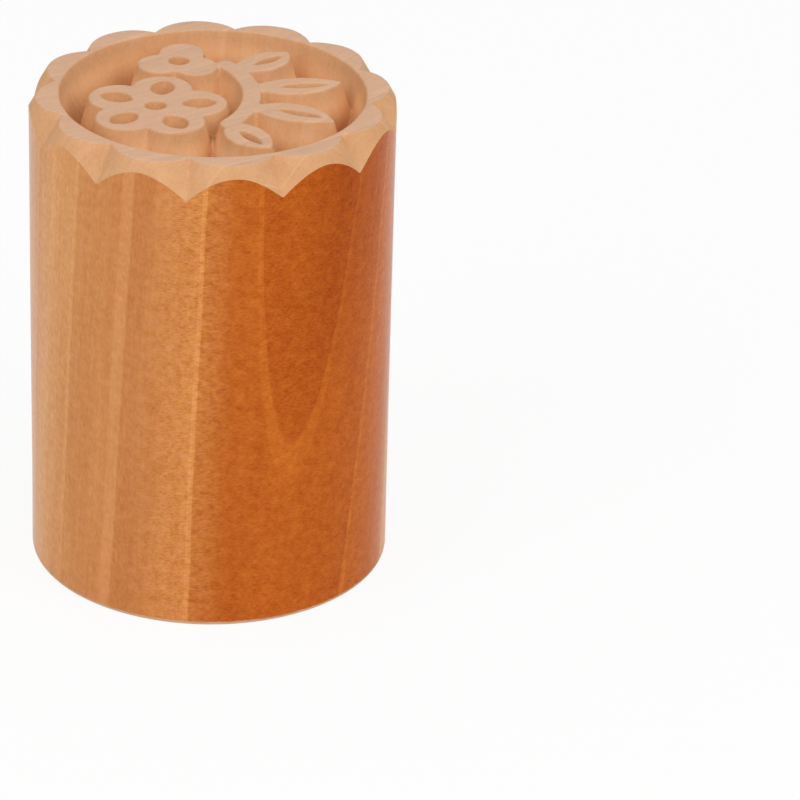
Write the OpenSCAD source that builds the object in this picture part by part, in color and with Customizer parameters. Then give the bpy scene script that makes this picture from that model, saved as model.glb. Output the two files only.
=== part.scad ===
/* [Body] */
// Diameter of the turned body
body_d = 40; // [34:0.5:60]
// Height from the base to the top of the rim
body_h = 55.5; // [30:0.5:90]
// Chamfer round the foot
foot_chamfer = 0.5; // [0.2:0.1:2]

/* [Scalloped rim] */
// Number of scallops round the rim
scallop_count = 12; // [10:1:16]
// Turn of the scallops against the ornament, in degrees
scallop_turn = 9.5; // [0:0.5:30]
// Distance from the side in to a scallop's crest, on the top face
crest_inset = 0.7; // [0.3:0.1:1.2]
// Distance from a scallop's crest in to the notch beside it, on the top face
notch_depth = 2.1; // [1.4:0.1:2.6]
// Lean of the scallops' cut faces from upright, in degrees
scallop_lean = 29.5; // [20:0.5:40]

/* [Bowl] */
// Flat land left between a notch and the mouth of the bowl
rim_land = 0.5; // [0.3:0.1:1.5]
// Depth of the bowl below the rim
bowl_depth = 6; // [4:0.25:9]
// Lean of the bowl's wall from upright, in degrees
bowl_lean = 12; // [4:1:20]
// Fillet between the bowl's wall and its floor
bowl_fillet = 3; // [1:0.25:3.5]

/* [Relief] */
// Depth of the relief's flat top below the rim
relief_drop = 0.4; // [0.2:0.1:1.5]
// Clear width between the mouth of the bowl and the relief
relief_gap = 2.1; // [1.2:0.1:4]
// Lean of the relief's walls from upright, in degrees
relief_lean = 14; // [6:1:20]
// Depth of the hollows cut into petals, leaves and bud
hollow_depth = 3.6; // [1.5:0.1:3.8]

/* [Blossom] */
// Number of petals
petal_count = 5; // [5:1:6]
// Reach of a petal from the blossom's centre
blossom_r = 7.8; // [6.5:0.1:8]
// Radius of a petal's round end
petal_r = 3.3; // [2.8:0.1:3.5]
// Width of the hollow in a petal
petal_hollow_w = 2.6; // [1.2:0.1:2.8]
// Wood left outside the hollow in a petal
petal_wall = 1.1; // [0.8:0.1:1.6]
// Radius of the hollow in the eye of the blossom and of the bud
eye_r = 1.15; // [1:0.05:1.4]
// Wood left between the eye and the hollow in a petal
eye_wall = 1.7; // [1.2:0.1:2]

/* [Spray] */
// Width of the stem
stem_w = 2; // [1.4:0.1:3]
// Bulge of a leaf on its fuller side
leaf_full_bulge = 2.7; // [2:0.1:3.2]
// Bulge of a leaf on its flatter side
leaf_flat_bulge = 1.7; // [1.2:0.1:2.4]
// Width of the groove along a leaf
vein_w = 1.2; // [0.6:0.1:1.6]
// Radius of each of the bud's lobes
bud_lobe_r = 2.5; // [2:0.1:3]
// Distance from the bud's centre to the centre of a lobe
bud_lobe_at = 2.2; // [1.8:0.1:2.4]

/* [Hidden] */
$fn = 80;

over = 1; // how far a cutter runs past the face that it cuts
sector_lap = 3; // degrees by which one share of a round pattern laps the next
blossom_core = 0.5; // radius of the blossom's plain core, as a share of the petals' distance from its centre
bud_core = 0.8; // the same for the bud and its lobes
core_lap = 0.1; // share of a core's radius by which every sector laps it

// Every raised shape has a layer of its own, so that no two of them end at the same height before they are trimmed.
layer_step = 0.05;
blossom_layer = 4;
bud_layer = 11;
stem_layer = 15;
leaf_layer = 16;
half_layer = 0.5; // what a leaf's second side adds to the layer of its first

body_r = body_d / 2;

// A scallop is a circle on the top face. Its crest and the notches beside it fix its centre and radius.
crest_r = body_r - crest_inset;
notch_r = crest_r - notch_depth;
half_pitch = 180 / scallop_count;
scallop_at = (crest_r^2 - notch_r^2) / (2 * (crest_r - notch_r * cos(half_pitch)));
scallop_r = crest_r - scallop_at;

// The scallop's circle widens downwards, and the notch leaves the side at the depth where the circles still meet.
notch_reach = sqrt(body_r^2 + scallop_at^2 - 2 * body_r * scallop_at * cos(half_pitch));
notch_foot = (notch_reach - scallop_r) / tan(scallop_lean);
cut_h = notch_foot + over;

// The bowl's wall leans in from its mouth and meets the fillet on its floor at a tangent.
mouth_r = notch_r - rim_land;
fillet_z = body_h - bowl_depth + bowl_fillet;
fillet_x = mouth_r - (bowl_fillet + (body_h - fillet_z) * sin(bowl_lean)) / cos(bowl_lean);

// The relief stands in a round field, and its walls run on a little below the floor of the bowl.
field_r = mouth_r - relief_gap;
relief_top = body_h - relief_drop;
relief_h = bowl_depth - relief_drop + over;

// The blossom and the bud touch the field's edge. Their directions are in degrees from +X.
blossom_dir = 207;
petal_turn = 12;
petal_at = blossom_r - petal_r;
blossom_at = polar(field_r - blossom_r, blossom_dir);
bud_dir = 115;
bud_turn = 85;
bud_lobe_count = 3;
bud_at = polar(field_r - bud_lobe_r - bud_lobe_at, bud_dir);

// The stem is an arc that grows with the field, from the lowest leaf up to the bud, round a point on the left.
stem_arc_r = 0.877 * field_r;
stem_centre = [-0.589 * field_r, 0];
stem_from = -38;
stem_to = 46;

// Each leaf: where its root lies along the stem's arc, the direction of its tip, and 1 where its left side is fuller.
LEAVES = [[-32, -62, -1], [-12, -24, 1], [12, 18, -1], [34, 58, -1]];
vein_start = 0.3; // where the groove along a leaf starts and ends, as shares of the leaf's length
vein_end = 0.86;

function polar(r, a) = [r * cos(a), r * sin(a)];
function leaf_root(leaf) = stem_centre + polar(stem_arc_r, leaf[0]);
function leaf_tip(leaf) = polar(field_r, leaf[1]);
function leaf_span(leaf) = norm(leaf_tip(leaf) - leaf_root(leaf));

// Radius of the circle through both ends of a span, with the bulge given at its middle.
function bulge_r(span, bulge) = (span^2 / 4 + bulge^2) / (2 * bulge);

// How far a raised shape runs on above the relief's top and below its foot.
function past(layer) = layer_step * layer;

// A cone that widens downwards at the relief's lean. It has its radius at the height of the relief's top.
module raised_cone(r, layer) {
  slope = tan(relief_lean);
  run = past(layer);
  translate([0, 0, relief_top - relief_h - run])
    cylinder(h = relief_h + 2 * run, r1 = r + (relief_h + run) * slope, r2 = r - run * slope);
}

// A cone that narrows downwards for a hollow, and runs on above the relief's top.
module sunk_cone(r) {
  slope = tan(relief_lean);
  tip_r = 0.1;
  translate([0, 0, relief_top - hollow_depth])
    cylinder(h = hollow_depth + over, r1 = max(r - hollow_depth * slope, tip_r), r2 = r + over * slope);
}

// Places the two circles whose overlap is a leaf from the origin to a point on +X, with a bulge on each side.
module left_arc(span, bulge) {
  translate([span / 2, bulge - bulge_r(span, bulge)])
    children();
}

module right_arc(span, bulge) {
  translate([span / 2, bulge_r(span, bulge) - bulge])
    children();
}

// A leaf between two arcs, raised.
module raised_leaf(span, left, right, layer) {
  intersection() {
    left_arc(span, left)
      raised_cone(bulge_r(span, left), layer);
    right_arc(span, right)
      raised_cone(bulge_r(span, right), layer + half_layer);
  }
}

// A narrower leaf, the same on both sides, sunk into the top of the relief.
module sunk_leaf(span, width) {
  intersection() {
    left_arc(span, width / 2)
      sunk_cone(bulge_r(span, width / 2));
    right_arc(span, width / 2)
      sunk_cone(bulge_r(span, width / 2));
  }
}

// Moves a leaf drawn along +X to its root and turns it towards its tip.
module at_leaf(leaf) {
  run = leaf_tip(leaf) - leaf_root(leaf);
  translate(leaf_root(leaf))
    rotate(atan2(run[1], run[0]))
      children();
}

// One copy's share of a round pattern: a prism between two planes through the axis, from one distance to another.
module sector(half_turn, from, reach, h) {
  slope = tan(half_turn);
  linear_extrude(h)
    polygon([
      [from, -from * slope],
      [reach, -reach * slope],
      [reach, reach * slope],
      [from, from * slope],
    ]);
}

// A ring of raised cones round a plain core, each cut off a little way into the next.
module raised_ring(count, at, r, turn, core_r, layer) {
  half_turn = 180 / count + sector_lap;
  run = past(layer + count);
  translate([0, 0, relief_top - relief_h - run])
    cylinder(h = relief_h + 2 * run, r = core_r);
  for (i = [0:count - 1])
    rotate(turn + i * 360 / count)
      intersection() {
        translate([at, 0])
          raised_cone(r, layer + i);
        translate([0, 0, relief_top - relief_h - 2 * over])
          sector(half_turn, core_r * (1 - core_lap) * cos(half_turn), at + r + relief_h, relief_h + 4 * over);
      }
}

// The round flower on the left, with its petals touching one another.
module blossom() {
  translate(blossom_at)
    raised_ring(petal_count, petal_at, petal_r, petal_turn, petal_at * blossom_core, blossom_layer);
}

// The round eye in the blossom's middle and the hollow in each petal.
module blossom_hollows() {
  hollow_from = eye_r + eye_wall;
  translate(blossom_at) {
    sunk_cone(eye_r);
    for (i = [0:petal_count - 1])
      rotate(petal_turn + i * 360 / petal_count)
        translate([hollow_from, 0])
          sunk_leaf(blossom_r - petal_wall - hollow_from, petal_hollow_w);
  }
}

// The bud at the top end of the stem.
module bud() {
  translate(bud_at)
    raised_ring(bud_lobe_count, bud_lobe_at, bud_lobe_r, bud_turn, bud_lobe_at * bud_core, bud_layer);
}

// The round eye in the bud's middle.
module bud_hollow() {
  translate(bud_at)
    sunk_cone(eye_r);
}

// The curved stem from the lowest leaf up to the bud.
module stem() {
  run = past(stem_layer);
  foot_w = stem_w + 2 * (relief_h + run) * tan(relief_lean);
  head_w = stem_w - 2 * run * tan(relief_lean);
  translate([stem_centre[0], stem_centre[1], relief_top])
    rotate([0, 0, stem_from])
      rotate_extrude(angle = stem_to - stem_from)
        polygon([
          [stem_arc_r - foot_w / 2, -relief_h - run],
          [stem_arc_r + foot_w / 2, -relief_h - run],
          [stem_arc_r + head_w / 2, run],
          [stem_arc_r - head_w / 2, run],
        ]);
}

// The four leaves along the stem, each turned out to the field's edge.
module leaves() {
  for (i = [0:len(LEAVES) - 1])
    at_leaf(LEAVES[i])
      raised_leaf(leaf_span(LEAVES[i]),
        LEAVES[i][2] > 0 ? leaf_full_bulge : leaf_flat_bulge,
        LEAVES[i][2] > 0 ? leaf_flat_bulge : leaf_full_bulge,
        leaf_layer + i);
}

// The groove along each leaf, midway between its two edges.
module veins() {
  for (leaf = LEAVES)
    at_leaf(leaf)
      translate([leaf_span(leaf) * vein_start, leaf[2] * (leaf_full_bulge - leaf_flat_bulge) / 2])
        sunk_leaf(leaf_span(leaf) * (vein_end - vein_start), vein_w);
}

// The round billet with its foot chamfered.
module billet() {
  rotate_extrude()
    polygon([
      [0, 0],
      [body_r - foot_chamfer, 0],
      [body_r, foot_chamfer],
      [body_r, body_h],
      [0, body_h],
    ]);
}

// The ring of wood cut away round the scallops, each of which is a cone that widens downwards from the top face.
module scallop_cut() {
  slope = tan(scallop_lean);
  difference() {
    translate([0, 0, body_h - cut_h])
      cylinder(h = cut_h + over, r = body_r + over);
    translate([0, 0, body_h - cut_h - over])
      cylinder(h = cut_h + 3 * over, r = scallop_at);
    for (i = [0:scallop_count - 1])
      rotate(i * 360 / scallop_count)
        translate([scallop_at, 0, body_h - cut_h - over])
          rotate(180)
            cylinder(h = cut_h + 3 * over, r1 = scallop_r + (cut_h + over) * slope, r2 = scallop_r - 2 * over * slope);
  }
}

// The bowl as a turning tool leaves it: leaning wall, round fillet, flat floor.
module bowl() {
  floor_z = body_h - bowl_depth;
  rotate_extrude() {
    polygon([
      [0, floor_z],
      [fillet_x, floor_z],
      [fillet_x, fillet_z],
      [fillet_x + bowl_fillet * cos(bowl_lean), fillet_z - bowl_fillet * sin(bowl_lean)],
      [mouth_r + over * tan(bowl_lean), body_h + over],
      [0, body_h + over],
    ]);
    intersection() {
      translate([fillet_x, fillet_z])
        circle(r = bowl_fillet);
      square([fillet_x + bowl_fillet, fillet_z]);
    }
  }
}

// The flat cut that leaves every raised shape's top at one height.
module relief_trim() {
  translate([0, 0, relief_top])
    cylinder(h = 2 * over, r = field_r + relief_gap / 2);
}

// The whole ornament, from a little below the floor of the bowl up to its flat top.
module relief() {
  difference() {
    difference() {
      union() {
        blossom();
        bud();
        stem();
        leaves();
      }
      relief_trim();
    }
    blossom_hollows();
    bud_hollow();
    veins();
  }
}

// The billet with its rim scalloped and its bowl turned out.
module block() {
  difference() {
    billet();
    scallop_cut();
    bowl();
  }
}

// The whole mould: the scalloped block turned as one, and the ornament in its bowl.
module mold() {
  color("burlywood") {
    rotate(scallop_turn)
      block();
    relief();
  }
}

mold();
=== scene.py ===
"""A turned wooden mooncake mould with a scalloped rim and a carved bowl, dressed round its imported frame."""

import logging
import math
from dataclasses import dataclass
from dataclasses import field
from enum import Enum
from typing import Callable
from typing import Iterable

import bpy
import numpy as np
from mathutils import Matrix
from mathutils import Vector
from mathutils.geometry import delaunay_2d_cdt


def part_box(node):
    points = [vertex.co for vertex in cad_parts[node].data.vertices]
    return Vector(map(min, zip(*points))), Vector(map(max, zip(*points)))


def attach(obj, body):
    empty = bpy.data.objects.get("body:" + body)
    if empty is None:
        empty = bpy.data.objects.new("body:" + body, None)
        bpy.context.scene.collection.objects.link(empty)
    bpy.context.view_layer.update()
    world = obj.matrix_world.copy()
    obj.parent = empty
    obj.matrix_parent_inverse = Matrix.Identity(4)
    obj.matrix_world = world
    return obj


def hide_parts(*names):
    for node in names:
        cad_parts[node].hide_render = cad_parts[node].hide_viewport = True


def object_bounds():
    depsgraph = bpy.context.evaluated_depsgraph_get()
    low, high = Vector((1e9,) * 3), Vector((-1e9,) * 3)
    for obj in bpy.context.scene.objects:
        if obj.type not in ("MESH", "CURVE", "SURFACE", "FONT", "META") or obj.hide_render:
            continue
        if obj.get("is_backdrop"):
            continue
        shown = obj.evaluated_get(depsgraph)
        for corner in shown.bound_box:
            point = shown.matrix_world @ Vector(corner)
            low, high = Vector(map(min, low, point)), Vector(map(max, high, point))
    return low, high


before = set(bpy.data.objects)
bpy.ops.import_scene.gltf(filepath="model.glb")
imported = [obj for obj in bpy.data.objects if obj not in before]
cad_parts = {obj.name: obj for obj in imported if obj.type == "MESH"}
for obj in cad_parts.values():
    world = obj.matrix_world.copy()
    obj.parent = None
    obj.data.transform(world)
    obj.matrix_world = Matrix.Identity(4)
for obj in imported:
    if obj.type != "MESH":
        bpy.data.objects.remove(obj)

LOG = logging.getLogger("mould")
MM = 0.001
UPRIGHT = 90.0
HALF_TURN = 180.0
FULL_TURN = 360.0
# A finish's tone at which its colour is the plain one.
MIDDLE_TONE = 0.5
# What a vector is multiplied by to lie flat in plan.
IN_PLAN = (1.0, 1.0, 0.0)
# How far a rounded edge has bent at each line along it, in degrees.
EASE_BENDS = (0.0, 14.0, 28.0, 42.0, 56.0, 68.0)
Array = np.ndarray
Socket = bpy.types.NodeSocket
Colour = tuple[float, float, float]
Gain = tuple[float, float, float]
Shades = tuple[Colour, Colour, Colour]
Span = tuple[float, float]
Form = Callable[[Array, Array], Array]


def polar(radius: float, degrees: float) -> Array:
    """A point in plan, given by its distance from the centre and its direction from +X."""
    turn = math.radians(degrees)
    return np.array([radius * math.cos(turn), radius * math.sin(turn)])


def circle(count: int) -> Array:
    """Evenly spaced points round a circle of radius 1 in plan, in order."""
    turns = np.arange(count) * 2 * math.pi / count
    return np.stack([np.cos(turns), np.sin(turns)], -1)


def ring(radius: float, longest: float) -> Array:
    """A closed ring of points in plan, which ends where it starts.

    Args:
        radius: The ring's radius.
        longest: The most that two neighbours may lie apart.

    Returns:
        The ring's points.
    """
    points = circle(int(math.ceil(2 * math.pi * radius / longest))) * radius
    return np.concatenate([points, points[:1]])


def smooth_least(a: Array, b: Array, reach: float) -> Array:
    """The lesser of two fields, rounded where they come within a reach of each other.

    Args:
        a: The first field.
        b: The second field.
        reach: How close the two are where the rounding starts.

    Returns:
        The rounded lesser value, never above either field.
    """
    share = np.clip(0.5 + 0.5 * (b - a) / reach, 0.0, 1.0)
    return b + (a - b) * share - reach * share * (1.0 - share)


def smooth_most(a: Array, b: Array, reach: float) -> Array:
    """The greater of two fields, rounded where they come within a reach of each other.

    Args:
        a: The first field.
        b: The second field.
        reach: How close the two are where the rounding starts.

    Returns:
        The rounded greater value, never below either field.
    """
    return -smooth_least(-a, -b, reach)


def shoulder(out: Array, lean: float, ease: float) -> Array:
    """How far a cut face has dropped below the flat face that it leaves, with the edge between them rounded.

    Args:
        out: Distance past the sharp edge, in plan.
        lean: Lean of the cut face from upright, in degrees.
        ease: Radius of the rounded edge.

    Returns:
        The drop at each point, zero on the flat face.
    """
    turn = math.radians(lean)
    start = shoulder_start(lean, ease)
    end = start + ease * math.cos(turn)
    along = np.clip(out - start, 0.0, ease * math.cos(turn))
    rounded = ease - np.sqrt(ease**2 - along**2)
    return np.where(out < end, rounded, out / math.tan(turn))


def shoulder_start(lean: float, ease: float) -> float:
    """Distance from the sharp edge at which a rounded edge begins, negative on the flat face.

    Args:
        lean: Lean of the cut face from upright, in degrees.
        ease: Radius of the rounded edge.

    Returns:
        The distance in plan.
    """
    turn = math.radians(lean)
    return -ease * (1.0 - math.sin(turn)) / math.cos(turn)


def shoulder_levels(lean: float, ease: float) -> list[float]:
    """Distances past the sharp edge at which a rounded edge needs a line, closer as it steepens.

    Args:
        lean: Lean of the cut face from upright, in degrees.
        ease: Radius of the rounded edge.

    Returns:
        The distances, from the flat face to the cut face.
    """
    start = shoulder_start(lean, ease)
    bends = [bend for bend in EASE_BENDS if bend < UPRIGHT - lean]
    return [start + ease * math.sin(math.radians(bend)) for bend in (*bends, UPRIGHT - lean)]


@dataclass(frozen=True)
class MouldSizes:
    """Sizes of the mould in millimetres and degrees. The body's own come from the frame."""

    body_r: float
    body_h: float
    foot_round: float = 0.5
    scallop_count: int = 12
    scallop_turn: float = 9.5
    crest_inset: float = 0.7
    notch_depth: float = 2.1
    scallop_lean: float = 29.5
    rim_land: float = 0.5
    bowl_depth: float = 6.0
    bowl_lean: float = 12.0
    bowl_fillet: float = 3.0
    relief_drop: float = 0.4
    relief_gap: float = 2.1
    relief_lean: float = 14.0
    hollow_depth: float = 3.6

    @classmethod
    def of_node(cls, node: str) -> "MouldSizes":
        """Takes the body's radius and height from a node of the frame.

        Args:
            node: Name of the frame's node.

        Returns:
            The sizes, with everything else as the maker cuts it.
        """
        digits = 2
        low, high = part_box(node)
        return cls(body_r=round((high.y - low.y) / 2 / MM, digits), body_h=round(high.z / MM, digits))

    @property
    def crest_r(self) -> float:
        """Distance from the axis to a scallop's crest on the top face."""
        return self.body_r - self.crest_inset

    @property
    def notch_r(self) -> float:
        """Distance from the axis to a notch on the top face."""
        return self.crest_r - self.notch_depth

    @property
    def pitch(self) -> float:
        """Turn from one scallop to the next, in degrees."""
        return FULL_TURN / self.scallop_count

    @property
    def scallop_at(self) -> float:
        """Distance from the axis to the centre of a scallop's circle."""
        half = math.radians(self.pitch / 2)
        return (self.crest_r**2 - self.notch_r**2) / (2 * (self.crest_r - self.notch_r * math.cos(half)))

    @property
    def scallop_r(self) -> float:
        """Radius of a scallop's circle on the top face."""
        return self.crest_r - self.scallop_at

    @property
    def mouth_r(self) -> float:
        """Radius of the bowl's mouth."""
        return self.notch_r - self.rim_land

    @property
    def fillet_drop(self) -> float:
        """Depth of the centre of the bowl's fillet below the rim."""
        return self.bowl_depth - self.bowl_fillet

    @property
    def fillet_at(self) -> float:
        """Distance from the axis to the centre of the bowl's fillet."""
        lean = math.radians(self.bowl_lean)
        return self.mouth_r - (self.bowl_fillet + self.fillet_drop * math.sin(lean)) / math.cos(lean)

    @property
    def field_r(self) -> float:
        """Radius of the round field that the relief fills."""
        return self.mouth_r - self.relief_gap


@dataclass(frozen=True)
class Disc:
    """A round outline."""

    centre: Array
    radius: float

    def outside(self, x: Array, y: Array) -> Array:
        """Distance outside the outline, negative within it."""
        return np.hypot(x - self.centre[0], y - self.centre[1]) - self.radius


@dataclass(frozen=True)
class Leaf:
    """A pointed outline between a root and a tip, with a bulge on each side."""

    root: Array
    tip: Array
    left: float
    right: float
    tip_ease: float = 0.25

    def outside(self, x: Array, y: Array) -> Array:
        """Distance outside the outline, negative within it.

        Args:
            x: First coordinates of the points.
            y: Second coordinates of the points.

        Returns:
            The distance at each point.
        """
        run = self.tip - self.root
        span = float(np.hypot(run[0], run[1]))
        along = ((x - self.root[0]) * run[0] + (y - self.root[1]) * run[1]) / span - span / 2
        across = ((y - self.root[1]) * run[0] - (x - self.root[0]) * run[1]) / span
        left_r = (span**2 / 4 + self.left**2) / (2 * self.left)
        right_r = (span**2 / 4 + self.right**2) / (2 * self.right)
        left_out = np.hypot(along, across - (self.left - left_r)) - left_r
        right_out = np.hypot(along, across - (right_r - self.right)) - right_r
        return smooth_most(left_out, right_out, self.tip_ease)


@dataclass(frozen=True)
class Band:
    """A band of even width along an arc, with round ends."""

    centre: Array
    radius: float
    width: float
    start: float
    stop: float

    def outside(self, x: Array, y: Array) -> Array:
        """Distance outside the outline, negative within it.

        Args:
            x: First coordinates of the points.
            y: Second coordinates of the points.

        Returns:
            The distance at each point.
        """
        turn = np.arctan2(y - self.centre[1], x - self.centre[0])
        near = np.clip(turn, math.radians(self.start), math.radians(self.stop))
        end_x = self.centre[0] + self.radius * np.cos(near)
        end_y = self.centre[1] + self.radius * np.sin(near)
        return np.hypot(x - end_x, y - end_y) - self.width / 2


class Side(Enum):
    """The sides of a leaf, seen along it from its root."""

    LEFT = 1
    RIGHT = -1


@dataclass(frozen=True)
class LeafPlace:
    """Where a leaf grows: its root's turn along the stem, its tip's direction and its fuller side."""

    root_turn: float
    tip_dir: float
    fuller: Side


@dataclass(frozen=True)
class Ornament:
    """The blossom, bud and leafy stem, as outlines in plan, in millimetres and degrees."""

    field_r: float
    petal_count: int = 5
    blossom_r: float = 7.8
    petal_r: float = 3.3
    petal_hollow_w: float = 2.6
    petal_wall: float = 1.1
    eye_r: float = 1.15
    eye_wall: float = 1.7
    petal_turn: float = 12.0
    blossom_dir: float = 207.0
    core_share: float = 0.8
    stem_w: float = 2.0
    stem_arc_share: float = 0.877
    stem_centre_share: float = -0.589
    stem_from: float = -38.0
    stem_to: float = 46.0
    leaf_full_bulge: float = 2.7
    leaf_flat_bulge: float = 1.7
    vein_w: float = 1.2
    vein_start: float = 0.3
    vein_end: float = 0.86
    bud_lobe_r: float = 2.5
    bud_lobe_at: float = 2.2
    bud_dir: float = 115.0
    bud_turn: float = 85.0
    bud_lobe_count: int = 3
    leaves: tuple[LeafPlace, ...] = (
        LeafPlace(root_turn=-32.0, tip_dir=-62.0, fuller=Side.RIGHT),
        LeafPlace(root_turn=-12.0, tip_dir=-24.0, fuller=Side.LEFT),
        LeafPlace(root_turn=12.0, tip_dir=18.0, fuller=Side.RIGHT),
        LeafPlace(root_turn=34.0, tip_dir=58.0, fuller=Side.RIGHT),
    )

    @property
    def blossom_at(self) -> Array:
        """Centre of the blossom."""
        return polar(self.field_r - self.blossom_r, self.blossom_dir)

    @property
    def bud_at(self) -> Array:
        """Centre of the bud."""
        return polar(self.field_r - self.bud_lobe_r - self.bud_lobe_at, self.bud_dir)

    @property
    def stem_arc_r(self) -> float:
        """Radius of the stem's arc."""
        return self.stem_arc_share * self.field_r

    @property
    def stem_centre(self) -> Array:
        """Centre of the stem's arc."""
        return np.array([self.stem_centre_share * self.field_r, 0.0])

    def petal_dirs(self) -> list[float]:
        """Direction of each petal from the blossom's centre."""
        return [self.petal_turn + i * FULL_TURN / self.petal_count for i in range(self.petal_count)]

    def blossom(self) -> list[Disc]:
        """Outlines of the blossom.

        Returns:
            The petals' round ends, and the plain core that joins them.
        """
        reach = self.blossom_r - self.petal_r
        petals = [Disc(self.blossom_at + polar(reach, turn), self.petal_r) for turn in self.petal_dirs()]
        return [*petals, Disc(self.blossom_at, reach * self.core_share)]

    def bud(self) -> list[Disc]:
        """Outlines of the bud.

        Returns:
            The bud's lobes and its core.
        """
        turns = [self.bud_turn + i * FULL_TURN / self.bud_lobe_count for i in range(self.bud_lobe_count)]
        lobes = [Disc(self.bud_at + polar(self.bud_lobe_at, turn), self.bud_lobe_r) for turn in turns]
        return [*lobes, Disc(self.bud_at, self.bud_lobe_at * self.core_share)]

    def spray(self) -> list[Leaf | Band]:
        """Outlines of the leafy stem.

        Returns:
            The stem and its leaves.
        """
        end_turn = math.degrees(self.stem_w / 2 / self.stem_arc_r)
        start, stop = self.stem_from + end_turn, self.stem_to - end_turn
        stem = Band(self.stem_centre, self.stem_arc_r, self.stem_w, start, stop)
        return [stem, *(self._leaf(place) for place in self.leaves)]

    def _leaf(self, place: LeafPlace) -> Leaf:
        """One leaf, from its root on the stem to its tip at the field's edge.

        Args:
            place: Where the leaf grows.

        Returns:
            The leaf's outline.
        """
        bulges = (self.leaf_full_bulge, self.leaf_flat_bulge)
        left, right = bulges if place.fuller is Side.LEFT else bulges[::-1]
        root = self.stem_centre + polar(self.stem_arc_r, place.root_turn)
        return Leaf(root, polar(self.field_r, place.tip_dir), left, right)

    def hollows(self) -> list[Disc | Leaf]:
        """Outlines of what is cut into the raised shapes.

        Returns:
            The eyes of the blossom and the bud, the petals' hollows and the leaves' veins.
        """
        start = self.eye_r + self.eye_wall
        end = self.blossom_r - self.petal_wall
        half = self.petal_hollow_w / 2
        petals = [
            Leaf(self.blossom_at + polar(start, turn), self.blossom_at + polar(end, turn), half, half)
            for turn in self.petal_dirs()
        ]
        eyes = [Disc(self.blossom_at, self.eye_r), Disc(self.bud_at, self.eye_r)]
        return [*eyes, *petals, *(self._vein(place) for place in self.leaves)]

    def _vein(self, place: LeafPlace) -> Leaf:
        """The groove along one leaf, midway between its two edges.

        Args:
            place: Where the leaf grows.

        Returns:
            The groove's outline.
        """
        leaf = self._leaf(place)
        run = leaf.tip - leaf.root
        normal = np.array([-run[1], run[0]]) / np.hypot(run[0], run[1])
        shift = normal * place.fuller.value * (self.leaf_full_bulge - self.leaf_flat_bulge) / 2
        start = leaf.root + run * self.vein_start + shift
        end = leaf.root + run * self.vein_end + shift
        return Leaf(start, end, self.vein_w / 2, self.vein_w / 2)


@dataclass(frozen=True)
class Ripple:
    """A slow unevenness that hand finishing leaves, always downwards."""

    depth: float
    longest: float
    shortest: float
    seed: int
    count: int = 7

    def at(self, x: Array, y: Array) -> Array:
        """Depth of the unevenness at points in plan.

        Args:
            x: First coordinates of the points.
            y: Second coordinates of the points.

        Returns:
            The depth at each point, never below zero.
        """
        draw = np.random.default_rng(self.seed)
        total = np.zeros_like(x)
        for _ in range(self.count):
            turn = draw.uniform(0.0, 2 * math.pi)
            length = draw.uniform(self.shortest, self.longest)
            phase = draw.uniform(0.0, 2 * math.pi)
            total += np.sin(2 * math.pi * (x * math.cos(turn) + y * math.sin(turn)) / length + phase)
        return self.depth * (0.5 + 0.5 * total / self.count)


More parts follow.
